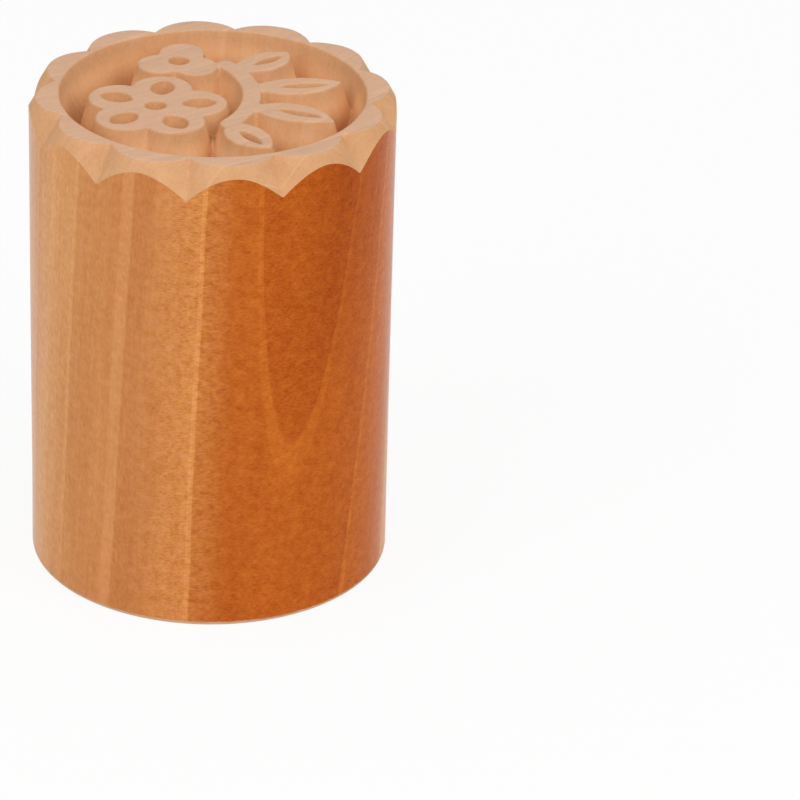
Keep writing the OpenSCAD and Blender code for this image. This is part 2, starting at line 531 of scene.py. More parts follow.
@dataclass
class HeadForm:
    """The head of the mould as a height over every point in plan, in millimetres."""

    sizes: MouldSizes
    ornament: Ornament
    rim_ease: float = 0.26
    crease_ease: float = 0.12
    mouth_ease: float = 0.36
    relief_ease: float = 0.36
    hollow_ease: float = 0.32
    join_ease: float = 0.5
    foot_ease: float = 1.1
    hollow_floor_ease: float = 0.9
    ripple: Ripple = Ripple(depth=0.09, longest=9.0, shortest=3.2, seed=5)

    def __post_init__(self) -> None:
        """Lists the outlines once."""
        self.raised = [*self.ornament.blossom(), *self.ornament.bud(), *self.ornament.spray()]
        self.sunk = self.ornament.hollows()

    def rim_out(self, x: Array, y: Array) -> Array:
        """Distance outside the scalloped outline of the top face.

        Args:
            x: First coordinates of the points.
            y: Second coordinates of the points.

        Returns:
            The distance at each point.
        """
        s = self.sizes
        pitch = math.radians(s.pitch)
        turn = np.arctan2(y, x) - math.radians(s.scallop_turn)
        folded = np.abs((turn + pitch / 2) % pitch - pitch / 2)
        r = np.hypot(x, y)
        own = np.hypot(r * np.cos(folded) - s.scallop_at, r * np.sin(folded))
        other = np.hypot(r * np.cos(folded - pitch) - s.scallop_at, r * np.sin(folded - pitch))
        out = smooth_least(own, other, self.crease_ease) - s.scallop_r
        return np.where(r < s.scallop_at, -s.scallop_r, out)

    def mouth_in(self, x: Array, y: Array) -> Array:
        """Distance within the mouth of the bowl."""
        return self.sizes.mouth_r - np.hypot(x, y)

    def relief_out(self, x: Array, y: Array) -> Array:
        """Distance outside the relief's outline, with the joins between its shapes softened.

        Args:
            x: First coordinates of the points.
            y: Second coordinates of the points.

        Returns:
            The distance at each point.
        """
        out = self.raised[0].outside(x, y)
        for shape in self.raised[1:]:
            out = smooth_least(out, shape.outside(x, y), self.join_ease)
        return out

    def hollow_in(self, x: Array, y: Array) -> Array:
        """Distance within the nearest hollow's outline."""
        return -np.minimum.reduce([shape.outside(x, y) for shape in self.sunk])

    def bowl_drop(self, x: Array, y: Array) -> Array:
        """Depth of the bowl below the rim.

        Args:
            x: First coordinates of the points.
            y: Second coordinates of the points.

        Returns:
            The depth at each point, zero on the rim.
        """
        s = self.sizes
        within = np.hypot(x, y) - s.fillet_at
        wall = shoulder(self.mouth_in(x, y), s.bowl_lean, self.mouth_ease)
        arc = s.fillet_drop + np.sqrt(np.clip(s.bowl_fillet**2 - within**2, 0.0, None))
        arc_end = s.bowl_fillet * math.cos(math.radians(s.bowl_lean))
        return np.where(within < 0.0, s.bowl_depth, np.where(within < arc_end, arc, wall))

    def ground(self, x: Array, y: Array) -> Array:
        """Height of the rim, its cut faces and the bowl, without the relief."""
        rim = shoulder(self.rim_out(x, y), self.sizes.scallop_lean, self.rim_ease)
        return self.sizes.body_h - np.maximum(rim, self.bowl_drop(x, y))

    def relief(self, x: Array, y: Array) -> Array:
        """Height of the relief, running on down past the bowl's floor outside it.

        Args:
            x: First coordinates of the points.
            y: Second coordinates of the points.

        Returns:
            The height at each point.
        """
        s = self.sizes
        wall = shoulder(self.relief_out(x, y), s.relief_lean, self.relief_ease)
        hollow = shoulder(self.hollow_in(x, y), s.relief_lean, self.hollow_ease)
        hollow = smooth_least(hollow, np.full_like(hollow, s.hollow_depth), self.hollow_floor_ease)
        return s.body_h - s.relief_drop - np.maximum(wall, hollow)

    def height(self, x: Array, y: Array) -> Array:
        """Height of the finished head."""
        carved = smooth_most(self.ground(x, y), self.relief(x, y), self.foot_ease)
        return np.minimum(carved, self.sizes.body_h) - self.ripple.at(x, y)

    def normals(self, x: Array, y: Array, step: float = 0.012) -> Array:
        """Unit normals of the head, from the heights on either side of each point.

        Args:
            x: First coordinates of the points.
            y: Second coordinates of the points.
            step: How far to either side the heights are read.

        Returns:
            One normal for each point.
        """
        rise_x = (self.height(x + step, y) - self.height(x - step, y)) / (2 * step)
        rise_y = (self.height(x, y + step) - self.height(x, y - step)) / (2 * step)
        normals = np.stack([-rise_x, -rise_y, np.ones_like(rise_x)], -1)
        return normals / np.linalg.norm(normals, axis=1, keepdims=True)


@dataclass
class Plan:
    """Points and lines in plan, gathered so that no two points come too close."""

    closest: float = 0.045
    points: list[tuple[float, float]] = field(default_factory=list)
    edges: list[tuple[int, int]] = field(default_factory=list)
    cells: dict[tuple[int, int], list[int]] = field(default_factory=dict)

    def add(self, x: float, y: float, clear: float | None = None) -> int | None:
        """Adds a point unless another lies too close.

        Args:
            x: Its first coordinate.
            y: Its second coordinate.
            clear: The least distance to any other point, if not the plan's own.

        Returns:
            The point's number, or None where it was left out.
        """
        limit = self.closest if clear is None else clear
        span = int(math.ceil(limit / self.closest))
        cell = (int(math.floor(x / self.closest)), int(math.floor(y / self.closest)))
        for i in range(cell[0] - span, cell[0] + span + 1):
            for j in range(cell[1] - span, cell[1] + span + 1):
                for other in self.cells.get((i, j), ()):
                    ox, oy = self.points[other]
                    if (ox - x) ** 2 + (oy - y) ** 2 < limit**2:
                        return None
        self.points.append((x, y))
        self.cells.setdefault(cell, []).append(len(self.points) - 1)
        return len(self.points) - 1

    def outline(self, edge: Array) -> None:
        """Adds a closed outline, before anything else."""
        self.line(edge)
        self.edges.append((len(edge) - 1, 0))

    def line(self, chain: Array, keep: Array | None = None) -> None:
        """Adds a line, left open wherever a point of it isn't kept.

        Args:
            chain: The line's points in order.
            keep: True for each point that belongs to the surface there, or None where they all do.
        """
        wanted = np.ones(len(chain), bool) if keep is None else keep
        last = None
        for (x, y), kept in zip(chain.tolist(), wanted.tolist()):
            number = self.add(x, y) if kept else None
            if number is not None and last is not None:
                self.edges.append((last, number))
            last = number

    def triangulate(self) -> tuple[Array, Array, list[int]]:
        """Fills the plan with triangles.

        Returns:
            The points, the triangles, and where each point that was added has gone.
        """
        whole_hull = 0
        tiny = 1e-6
        found = delaunay_2d_cdt([Vector(p) for p in self.points], self.edges, [], whole_hull, tiny)
        points = np.array([tuple(v) for v in found[0]])
        place = [-1] * len(self.points)
        for number, sources in enumerate(found[3]):
            for source in sources:
                place[source] = number
        return points, np.array(found[2]), place


@dataclass
class Tracer:
    """Traces lines of equal value through a field over the head."""

    reach: float
    pitch: float = 0.1
    longest: float = 0.3
    shortest: float = 0.07
    bend: float = 9.0
    slope_step: float = 0.004
    least_slope: float = 0.5
    farthest: float = 0.05

    def __post_init__(self) -> None:
        """Lays out the grid that the fields are read on."""
        count = int(round(2 * self.reach / self.pitch)) + 1
        self.axis = np.linspace(-self.reach, self.reach, count)
        self.x, self.y = np.meshgrid(self.axis, self.axis, indexing="ij")

    def lines(self, values: Form, levels: Iterable[float]) -> list[Array]:
        """Lines of a field at each level, moved onto the level and thinned to what their bends need.

        Args:
            values: The field, as a function of points in plan.
            levels: The levels to trace.

        Returns:
            One array of points for each line.
        """
        sampled = values(self.x, self.y)
        found = []
        for level in levels:
            for chain in self._chains(sampled - level):
                found.append(self._thin(self._settle(values, chain, level)))
        return found

    def _chains(self, f: Array) -> list[Array]:
        """Chains of points where a sampled field changes sign.

        Args:
            f: The field's values on the grid.

        Returns:
            One array of points for each chain.
        """
        inside = f > 0
        across_x = inside[:-1, :] != inside[1:, :]
        across_y = inside[:, :-1] != inside[:, 1:]
        id_x = np.arange(across_x.size).reshape(across_x.shape)
        id_y = np.arange(across_y.size).reshape(across_y.shape) + across_x.size
        cell_ids = np.stack([id_x[:, :-1], id_y[1:, :], id_x[:, 1:], id_y[:-1, :]], -1).reshape(-1, 4)
        sides = (across_x[:, :-1], across_y[1:, :], across_x[:, 1:], across_y[:-1, :])
        crossed = np.stack(sides, -1).reshape(-1, 4)
        count = crossed.sum(1)
        plain = cell_ids[count == 2][crossed[count == 2]].reshape(-1, 2)
        saddles = cell_ids[count == 4]
        first_pair, second_pair = [0, 3], [1, 2]
        pairs = np.concatenate([plain, saddles[:, first_pair], saddles[:, second_pair]])
        points = self._crossings(f, across_x, across_y, id_x, id_y)
        return [np.array([points[k] for k in chain]) for chain in self._walk(pairs.tolist())]

    def _crossings(
        self, f: Array, across_x: Array, across_y: Array, id_x: Array, id_y: Array
    ) -> dict[int, list[float]]:
        """Where the field is zero on each side of a grid cell that it crosses.

        Args:
            f: The field's values on the grid.
            across_x: True where the field changes sign between neighbours along the first axis.
            across_y: The same along the second axis.
            id_x: A number for each place of the first kind.
            id_y: A number for each place of the second kind.

        Returns:
            The crossing point for each number.
        """
        points = {}
        i, j = np.nonzero(across_x)
        share = f[i, j] / (f[i, j] - f[i + 1, j])
        step = self.axis[1] - self.axis[0]
        spots = np.stack([self.axis[i] + share * step, self.axis[j]], -1)
        points.update(zip(id_x[i, j].tolist(), spots.tolist()))
        i, j = np.nonzero(across_y)
        share = f[i, j] / (f[i, j] - f[i, j + 1])
        spots = np.stack([self.axis[i], self.axis[j] + share * step], -1)
        points.update(zip(id_y[i, j].tolist(), spots.tolist()))
        return points

    @staticmethod
    def _walk(pairs: list[list[int]]) -> list[list[int]]:
        """Joins pairs of neighbours into chains, open ones first.

        Args:
            pairs: The numbers of every two neighbours.

        Returns:
            The numbers along each chain. A closed one ends with its first number.
        """
        near: dict[int, list[int]] = {}
        for a, b in pairs:
            near.setdefault(a, []).append(b)
            near.setdefault(b, []).append(a)
        ends = [k for k, others in near.items() if len(others) == 1]
        chains = []
        seen = set()
        for start in [*ends, *near]:
            if start in seen:
                continue
            chain = [start]
            seen.add(start)
            while True:
                ahead = [k for k in near[chain[-1]] if k not in seen]
                if not ahead:
                    break
                chain.append(ahead[0])
                seen.add(ahead[0])
            if len(chain) > 2 and start in near[chain[-1]]:
                chain.append(start)
            chains.append(chain)
        return chains

    def _settle(self, values: Form, chain: Array, level: float) -> Array:
        """Moves a chain's points along the field's slope onto the level.

        Args:
            values: The field.
            chain: The chain's points.
            level: The value that they should have.

        Returns:
            The points, none of them moved farther than allowed.
        """
        step = self.slope_step
        x, y = chain[:, 0], chain[:, 1]
        off = values(x, y) - level
        rise_x = (values(x + step, y) - values(x - step, y)) / (2 * step)
        rise_y = (values(x, y + step) - values(x, y - step)) / (2 * step)
        steep = np.clip(rise_x**2 + rise_y**2, self.least_slope**2, None)
        move = np.clip(off / steep, -self.farthest, self.farthest)
        return np.stack([x - move * rise_x, y - move * rise_y], -1)

    def _thin(self, chain: Array) -> Array:
        """Keeps the points that a chain's length and bends need.

        Args:
            chain: The chain's points.

        Returns:
            Its ends and the points kept between them.
        """
        kept = [0]
        turned = 0.0
        run = 0.0
        steps = np.diff(chain, axis=0)
        lengths = np.hypot(steps[:, 0], steps[:, 1])
        headings = np.degrees(np.arctan2(steps[:, 1], steps[:, 0]))
        for k in range(1, len(chain) - 1):
            run += lengths[k - 1]
            turned += abs((headings[k] - headings[k - 1] + HALF_TURN) % FULL_TURN - HALF_TURN)
            if run >= self.longest or (turned >= self.bend and run >= self.shortest):
                kept.append(k)
                turned = 0.0
                run = 0.0
        kept.append(len(chain) - 1)
        return chain[kept]


class Face(Enum):
    """The kinds of surface on the block, in the order of its material slots."""

    VARNISHED = 0
    BARE = 1


@dataclass
class Shell:
    """Corners, faces, corner normals and finishes of one closed skin, in millimetres."""

    points: list[Array] = field(default_factory=list)
    faces: list[list[int]] = field(default_factory=list)
    corner_normals: list[Array] = field(default_factory=list)
    finishes: list[int] = field(default_factory=list)
    count: int = 0

    def add_points(self, points: Array) -> int:
        """Adds points.

        Args:
            points: The points, one row each.

        Returns:
            The number of the first.
        """
        first = self.count
        self.points.append(points)
        self.count += len(points)
        return first

    def add_faces(self, faces: Array, normals: Array, finish: Face) -> None:
        """Adds faces of one size and finish.

        Args:
            faces: Point numbers, one row a face.
            normals: A normal for each corner of each face.
            finish: The finish of them all.
        """
        self.faces.extend(faces.tolist())
        self.corner_normals.append(normals.reshape(-1, 3))
        self.finishes.extend([finish.value] * len(faces))

    def mesh(self, name: str) -> bpy.types.Mesh:
        """Makes the mesh in metres.

        Args:
            name: Name of the mesh.

        Returns:
            The mesh, with its normals and material numbers set.
        """
        mesh = bpy.data.meshes.new(name)
        mesh.from_pydata((np.concatenate(self.points) * MM).tolist(), [], self.faces)
        mesh.polygons.foreach_set("use_smooth", [True] * len(self.faces))
        mesh.polygons.foreach_set("material_index", self.finishes)
        mesh.normals_split_custom_set(np.concatenate(self.corner_normals).tolist())
        mesh.update()
        return mesh


@dataclass
class HeadPlan:
    """The head seen in plan, in millimetres: lines along its creases, edges and walls, and points between."""

    form: HeadForm
    edge_clear: float = 0.09
    crease_step: float = 0.25
    mouth_levels: tuple[float, ...] = (0.35, 0.6)
    fillet_turns: tuple[int, ...] = (78, 65, 52, 39, 26, 13)
    floor_inset: float = 0.4
    rim_levels: tuple[float, ...] = (0.35, 0.7, 1.1, 1.6, 2.2)
    hollow_levels: tuple[float, ...] = (0.2, 0.34, 0.5, 0.68, 0.82, 0.96)
    relief_levels: tuple[float, ...] = (0.3, 0.55, 0.85, 1.1, 1.25, 1.4, 1.56, 1.72)
    flat_spacing: float = 0.62
    flat_shift: float = 0.08
    flat_clear: float = 0.6
    flat_seed: int = 3

    def __post_init__(self) -> None:
        """Starts an empty plan, and lays out the grid that lines are traced on."""
        self.plan = Plan()
        self.tracer = Tracer(reach=self.form.sizes.body_r)

    def fill(self, edge: Array) -> Plan:
        """Draws lines along every crease, edge, wall and fillet, and scatters points between them.

        Args:
            edge: Points round the head's edge.

        Returns:
            The plan. Its first points are those of the edge.
        """
        form, s = self.form, self.form.sizes
        self.plan.outline(edge)
        self._draw(self._creases())
        self._draw(self._rings(), self._open_ground)
        self._draw(self._trace(form.rim_out, s.scallop_lean, form.rim_ease, self.rim_levels))
        hollows = self._trace(form.hollow_in, s.relief_lean, form.hollow_ease, self.hollow_levels)
        self._draw(hollows, self._on_relief)
        walls = self._trace(form.relief_out, s.relief_lean, form.relief_ease, self.relief_levels)
        self._draw(walls, self._carved)
        self._scatter()
        return self.plan

    def _draw(self, chains: Iterable[Array], belongs: Form | None = None) -> None:
        """Draws lines clear of the side.

        Args:
            chains: The lines' points.
            belongs: A test of which points belong to the surface, or None where they all do.
        """
        for chain in chains:
            x, y = chain[:, 0], chain[:, 1]
            kept = np.hypot(x, y) < self.form.sizes.body_r - self.edge_clear
            if belongs is not None:
                kept &= belongs(x, y)
            self.plan.line(chain, kept)

    def _trace(self, values: Form, lean: float, ease: float, further: Iterable[float]) -> list[Array]:
        """Lines along a rounded edge and down the wall past it.

        Args:
            values: Distance past the edge.
            lean: Lean of the wall from upright, in degrees.
            ease: Radius of the rounded edge.
            further: The distances down the wall at which it gets a line.

        Returns:
            The lines' points.
        """
        return self.tracer.lines(values, [*shoulder_levels(lean, ease), *further])

    def _open_ground(self, x: Array, y: Array) -> Array:
        """True where the bowl shows."""
        return self.form.relief(x, y) < self.form.ground(x, y) + self.form.foot_ease / 2

    def _carved(self, x: Array, y: Array) -> Array:
        """True where the relief shows."""
        return self.form.relief(x, y) > self.form.ground(x, y) - self.form.foot_ease

    def _on_relief(self, x: Array, y: Array) -> Array:
        """True on the relief's tops and in their hollows."""
        return self.form.relief_out(x, y) < self.form.relief_ease

    def _creases(self) -> list[Array]:
        """The lines along which neighbouring scallops meet.

        Returns:
            One line a crease, from its notch out to the side.
        """
        s = self.form.sizes
        reach = np.arange(s.notch_r, s.body_r, self.crease_step)[:, None]
        turns = [s.scallop_turn + s.pitch * (i + 0.5) for i in range(s.scallop_count)]
        return [reach * polar(1.0, turn)[None, :] for turn in turns]

    def _rings(self) -> list[Array]:
        """Rings round the bowl's mouth, wall, fillet and floor.

        Returns:
            The rings' points, from the mouth inwards.
        """
        s = self.form.sizes
        mouth = [*shoulder_levels(s.bowl_lean, self.form.mouth_ease), *self.mouth_levels]
        radii = [s.mouth_r - inner for inner in mouth]
        radii += [s.fillet_at + s.bowl_fillet * math.sin(math.radians(turn)) for turn in self.fillet_turns]
        radii.append(s.fillet_at - self.floor_inset)
        return [ring(radius, self.tracer.longest) for radius in radii]

    def _scatter(self) -> None:
        """Scatters points over the flat faces, in rows of loose triangles, so that they can undulate."""
        reach, spacing, shift = self.form.sizes.body_r, self.flat_spacing, self.flat_shift
        rise = math.sqrt(0.75)
        draw = np.random.default_rng(self.flat_seed)
        count = int(reach / spacing) + 1
        for i in range(-count, count + 1):
            for j in range(-count, count + 1):
                x = (i + 0.5 * (j % 2)) * spacing + draw.uniform(-shift, shift)
                y = j * spacing * rise + draw.uniform(-shift, shift)
                if math.hypot(x, y) < reach - spacing / 2:
                    self.plan.add(x, y, clear=spacing * self.flat_clear)


@dataclass
class CarvedBlock:
    """The whole mould: turned side, rounded foot, flat base and carved head, as one skin."""

    sizes: MouldSizes
    columns: int = 720
    side_rows: int = 44
    foot_rows: int = 6
    side_ripple: Ripple = Ripple(depth=0.05, longest=26.0, shortest=7.0, seed=11)
    ripple_stretch: float = 0.35
    ripple_fade: float = 6.0
    base_inset: float = 0.8
    base_step: float = 1.6
    base_least: float = 0.5
    base_pitch: float = 1.2

    def build(self) -> bpy.types.Object:
        """Builds the block and dresses it.

        Returns:
            The finished piece, in metres in the frame's place.
        """
        shell = Shell()
        rim = self._head(shell)
        foot = self._side(shell, rim)
        self._base(shell, foot)
        mesh = shell.mesh("carved_block")
        piece = bpy.data.objects.new("carved_block", mesh)
        bpy.context.scene.collection.objects.link(piece)
        figure = WoodFigure(top=self.sizes.body_h)
        mesh.materials.append(VarnishedWood(figure).material())
        mesh.materials.append(BareWood(figure, self.sizes.mouth_r).material())
        return piece

    def _head(self, shell: Shell) -> Array:
        """Adds the carved head.

        Args:
            shell: The skin to add to.

        Returns:
            The numbers of the points round its edge, one for each column.
        """
        form = HeadForm(self.sizes, Ornament(self.sizes.field_r))
        plan = HeadPlan(form).fill(circle(self.columns) * self.sizes.body_r)
        points, faces, place = plan.triangulate()
        x, y = points[:, 0], points[:, 1]
        normals = form.normals(x, y)
        first = shell.add_points(np.stack([x, y, form.height(x, y)], -1))
        shell.add_faces(faces + first, normals[faces], Face.BARE)
        return np.array(place[: self.columns]) + first

    def _side(self, shell: Shell, rim: Array) -> Array:
        """Adds the turned side and the rounded foot.

        Args:
            shell: The skin to add to.
            rim: Numbers of the points round the head's edge.

        Returns:
            The numbers of the points round the base, one for each column.
        """
        s = self.sizes
        out = np.pad(circle(self.columns), ((0, 0), (0, 1)))
        girth = np.arange(self.columns) * 2 * math.pi / self.columns * s.body_r
        top = np.concatenate(shell.points)[rim][:, 2]
        rows = [rim]
        normals = [out]
        for share in np.linspace(0.0, 1.0, self.side_rows)[1:]:
            z = top + (s.foot_round - top) * share
            fade = min(1.0, self.ripple_fade * share, self.ripple_fade * (1.0 - share))
            dip = self.side_ripple.at(girth, self.ripple_stretch * z) * fade
            rows.append(self._row(shell, out, s.body_r - dip, z))
            normals.append(out)
        for step in range(1, self.foot_rows + 1):
            turn = math.radians(UPRIGHT * step / self.foot_rows)
            z = np.full(self.columns, s.foot_round * (1.0 - math.sin(turn)))
            r = np.full(self.columns, s.body_r - s.foot_round * (1.0 - math.cos(turn)))
            rows.append(self._row(shell, out, r, z))
            normals.append(out * math.cos(turn) - np.array([0.0, 0.0, math.sin(turn)]))
        for k in range(len(rows) - 1):
            self._belt(shell, rows[k], rows[k + 1], normals[k], normals[k + 1])
        return rows[-1]

    @staticmethod
    def _row(shell: Shell, out: Array, r: Array, z: Array) -> Array:
        """Adds one row of points round the side.

        Args:
            shell: The skin to add to.
            out: Directions of the columns.
            r: Distance of each point from the axis.
            z: Height of each point.

        Returns:
            The points' numbers.
        """
        points = out * r[:, None]
        points[:, 2] = z
        first = shell.add_points(points)
        return np.arange(first, first + len(points))

    @staticmethod
    def _belt(shell: Shell, upper: Array, lower: Array, upper_normals: Array, lower_normals: Array) -> None:
        """Adds one belt of faces between two rows.

        Args:
            shell: The skin to add to.
            upper: Numbers of the upper row's points.
            lower: Numbers of the lower row's points.
            upper_normals: Normals along the upper row.
            lower_normals: Normals along the lower row.
        """
        faces = np.stack([upper, lower, np.roll(lower, -1), np.roll(upper, -1)], -1)
        corners = (upper_normals, lower_normals, np.roll(lower_normals, -1, 0), np.roll(upper_normals, -1, 0))
        shell.add_faces(faces, np.stack(corners, 1), Face.VARNISHED)

    def _base(self, shell: Shell, foot: Array) -> None:
        """Adds the flat base inside the rounded foot.

        Args:
            shell: The skin to add to.
            foot: Numbers of the points round the base.
        """
        edge = np.concatenate(shell.points)[foot]
        plan = Plan()
        plan.outline(edge[:, :2])
        for radius in np.arange(edge[0, 0] - self.base_inset, self.base_least, -self.base_step):
            plan.line(ring(radius, self.base_pitch))
        points, faces, place = plan.triangulate()
        numbers = np.full(len(points), -1)
        numbers[np.array(place[: len(foot)])] = foot
        fresh = np.nonzero(numbers < 0)[0]
        flat = np.stack([points[fresh, 0], points[fresh, 1], np.zeros(len(fresh))], -1)
        numbers[fresh] = np.arange(len(fresh)) + shell.add_points(flat)
        down = np.zeros((len(faces), 3, 3))
        down[:, :, 2] = -1.0
        shell.add_faces(numbers[faces][:, ::-1], down, Face.BARE)


def linear(colour: Colour) -> tuple[float, float, float, float]:
    """A colour's linear values, which the shader takes, by the standard screen curve.

    Args:
        colour: Its red, green and blue on a screen, from 0 to 255.

    Returns:
        Red, green, blue and full cover, from 0 to 1.
    """
    white = 255
    bend, slope = 0.04045, 12.92
    offset, power = 0.055, 2.4
    shares = [value / white for value in colour]
    values = [v / slope if v <= bend else ((v + offset) / (1.0 + offset)) ** power for v in shares]
    return (*values, 1.0)


class Op(Enum):
    """The sums that the finishes use, by the names that Blender gives them."""

    ADD = "ADD"
    SUBTRACT = "SUBTRACT"
    MULTIPLY = "MULTIPLY"
    MULTIPLY_ADD = "MULTIPLY_ADD"
    MAXIMUM = "MAXIMUM"
    ABSOLUTE = "ABSOLUTE"
    LENGTH = "LENGTH"


class Blend(Enum):
    """What a mix node can blend: its name in Blender, the sockets that take it, and the one that gives it."""

    NUMBERS = ("FLOAT", (0, 2, 3), 0)
    COLOURS = ("RGBA", (0, 6, 7), 2)


class Board:
    """A material's node tree, with short calls for the nodes that the finishes use."""

    def __init__(self, tree: bpy.types.NodeTree) -> None:
        """Takes an empty node tree."""
        self.tree = tree

    def node(self, kind: str, **settings: object) -> bpy.types.Node:
        """Adds a node and sets its own properties.

        Args:
            kind: The node's type.
            settings: Its properties, by name.

        Returns:
            The node.
        """
        made = self.tree.nodes.new(kind)
        for name, value in settings.items():
            setattr(made, name, value)
        return made

    def feed(self, node: bpy.types.Node, **inputs: object) -> None:
        """Links or sets a node's inputs, named with underscores for spaces."""
        for name, value in inputs.items():
            self.put(node.inputs[name.replace("_", " ")], value)

    def put(self, target: Socket, value: object) -> None:
        """Links a socket to another, or sets its value.

        Args:
            target: The input socket.
            value: An output socket, or a plain value.
        """
        if isinstance(value, Socket):
            self.tree.links.new(value, target)
        else:
            target.default_value = value

    def sum(self, operation: Op, a: object, b: object = 0.0, c: object = 0.0) -> Socket:
        """A sum on up to three numbers.

        Args:
            operation: The sum.
            a: The first number or socket.
            b: The second.
            c: The third.

        Returns:
            The result.
        """
        node = self.node("ShaderNodeMath", operation=operation.value)
        for target, value in zip(node.inputs, (a, b, c)):
            self.put(target, value)
        return node.outputs[0]

    def weigh(self, marks: Iterable[tuple[Socket, float]]) -> Socket:
        """The tone that weighted marks make together, which is the middle one where they are all zero.

        Args:
            marks: Each mark and its weight.

        Returns:
            The tone.
        """
        tone = MIDDLE_TONE
        for mark, weight in marks:
            tone = self.sum(Op.MULTIPLY_ADD, mark, weight, tone)
        return tone

    def vector(self, operation: Op, a: object, b: object = (0.0, 0.0, 0.0)) -> Socket:
        """A sum on vectors.

        Args:
            operation: The sum.
            a: The first vector or socket.
            b: The second.

        Returns:
            The result, a number where the sum is a length.
        """
        node = self.node("ShaderNodeVectorMath", operation=operation.value)
        self.put(node.inputs[0], a)
        self.put(node.inputs[1], b)
        return node.outputs["Value" if operation is Op.LENGTH else "Vector"]

    def ramp(self, factor: Socket, stops: Iterable[tuple[float, Colour]]) -> Socket:
        """A colour that runs through stops written as screen values."""
        return self._stops(factor, [(place, linear(colour)) for place, colour in stops])

    def gain(self, tone: Socket, low: Gain, high: Gain) -> Socket:
        """What a colour is multiplied by: a low gain at a tone of 0, a high one at 1, and 1 in the middle.

        Args:
            tone: The tone.
            low: The red, green and blue gains at 0.
            high: Those at 1.

        Returns:
            The three gains.
        """
        room = 4.0
        gains = ((0.0, low), (1.0, high), (MIDDLE_TONE, (1.0, 1.0, 1.0)))
        stops = [(place, (*(value / room for value in values), 1.0)) for place, values in gains]
        return self.vector(Op.MULTIPLY, self._stops(tone, stops), (room,) * 3)

    def _stops(self, factor: Socket, stops: list[tuple[float, tuple[float, ...]]]) -> Socket:
        """A ramp through stops.

        Args:
            factor: The place along the ramp.
            stops: Each stop's place and linear colour.

        Returns:
            The ramp's colour.
        """
        node = self.node("ShaderNodeValToRGB")
        self.put(node.inputs[0], factor)
        elements = node.color_ramp.elements
        ready = len(elements)
        for k, (place, colour) in enumerate(stops):
            element = elements[k] if k < ready else elements.new(place)
            element.position = place
            element.color = colour
        return node.outputs["Color"]

    def split(self, vector: Socket) -> bpy.types.bpy_prop_collection:
        """The parts of a vector.

        Args:
            vector: The vector.

        Returns:
            Its three numbers, under X, Y and Z.
        """
        node = self.node("ShaderNodeSeparateXYZ")
        self.put(node.inputs[0], vector)
        return node.outputs

    def join(self, x: Socket, y: Socket, z: Socket) -> Socket:
        """A vector from three numbers.

        Args:
            x: The first number.
            y: The second number.
            z: The third number.

        Returns:
            The vector.
        """
        node = self.node("ShaderNodeCombineXYZ")
        self.feed(node, X=x, Y=y, Z=z)
        return node.outputs[0]

    def blend(self, factor: object, a: object, b: object) -> Socket:
        """A blend of two numbers.

        Args:
            factor: How much of the second there is.
            a: The first number.
            b: The second number.

        Returns:
            The blend.
        """
        return self._mixed(Blend.NUMBERS, factor, a, b)

    def mix(self, factor: object, a: object, b: object) -> Socket:
        """A blend of two colours.

        Args:
            factor: How much of the second there is.
            a: The first colour.
            b: The second colour.

        Returns:
            The blend.
        """
        return self._mixed(Blend.COLOURS, factor, a, b)

    def _mixed(self, kind: Blend, *values: object) -> Socket:
        """A blend of two values of one kind.

        Args:
            kind: The kind of value.
            values: How much of the second there is, then the first and the second.

        Returns:
            The blend.
        """
        data_type, slots, result = kind.value
        node = self.node("ShaderNodeMix", data_type=data_type)
        for slot, value in zip(slots, values):
            self.put(node.inputs[slot], value)
        return node.outputs[result]

    def between(self, value: Socket, low: float, high: float) -> Socket:
        """Maps a value smoothly from a stretch onto 0 to 1.

        Args:
            value: The value.
            low: What becomes 0.
            high: What becomes 1.

        Returns:
            The share of the stretch.
        """
        node = self.node("ShaderNodeMapRange", interpolation_type="SMOOTHSTEP")
        self.feed(node, Value=value, From_Min=low, From_Max=high)
        return node.outputs[0]


def fresh_material(name: str) -> tuple[bpy.types.Material, Board, bpy.types.Node]:
    """Starts a material.

    Args:
        name: Name of the material.

    Returns:
        The material, its board and its shader.
    """
    material = bpy.data.materials.new(name)
    material.use_nodes = True
    return material, Board(material.node_tree), material.node_tree.nodes["Principled BSDF"]


@dataclass(frozen=True)
class Mark:
    """One kind of cloudy marks in the wood: a blotch's size in millimetres, and its finer layers."""

    cell: tuple[float, float, float]
    detail: float = 1.0
    coarse: float = 0.55
    middle: float = 0.5

    def read(self, board: Board, place: Socket) -> Socket:
        """The marks at a place.

        Args:
            board: The material's node tree.
            place: The point in millimetres.

        Returns:
            A value between about -0.5 and 0.5.
        """
        scaled = board.vector(Op.MULTIPLY, place, tuple(1.0 / size for size in self.cell))
        node = board.node("ShaderNodeTexNoise", noise_dimensions="3D")
        board.feed(node, Vector=scaled, Scale=1.0, Detail=self.detail, Roughness=self.coarse)
        return board.sum(Op.SUBTRACT, node.outputs[0], self.middle)


@dataclass(frozen=True)
class Bump:
    """A fine unevenness: its depth in millimetres, how strongly it tells, and the streaks' share of it."""

    depth: float
    strength: float
    streaks: float

    def apply(self, board: Board, shader: bpy.types.Node, streak: Socket, fine: Socket) -> None:
        """Gives a shader the unevenness.

        Args:
            board: The material's node tree.
            shader: The shader.
            streak: The long streaks.
            fine: The fine marks between them.
        """
        node = board.node("ShaderNodeBump")
        height = board.sum(Op.MULTIPLY_ADD, streak, self.streaks, fine)
        board.feed(node, Height=height, Strength=self.strength, Distance=self.depth * MM)
        board.put(shader.inputs["Normal"], node.outputs[0])


@dataclass(frozen=True)
class GrainPlace:
    """Where a point lies in the grain, as sockets in millimetres."""

    point: Socket
    depth: Socket
    across: Socket
    along: Socket


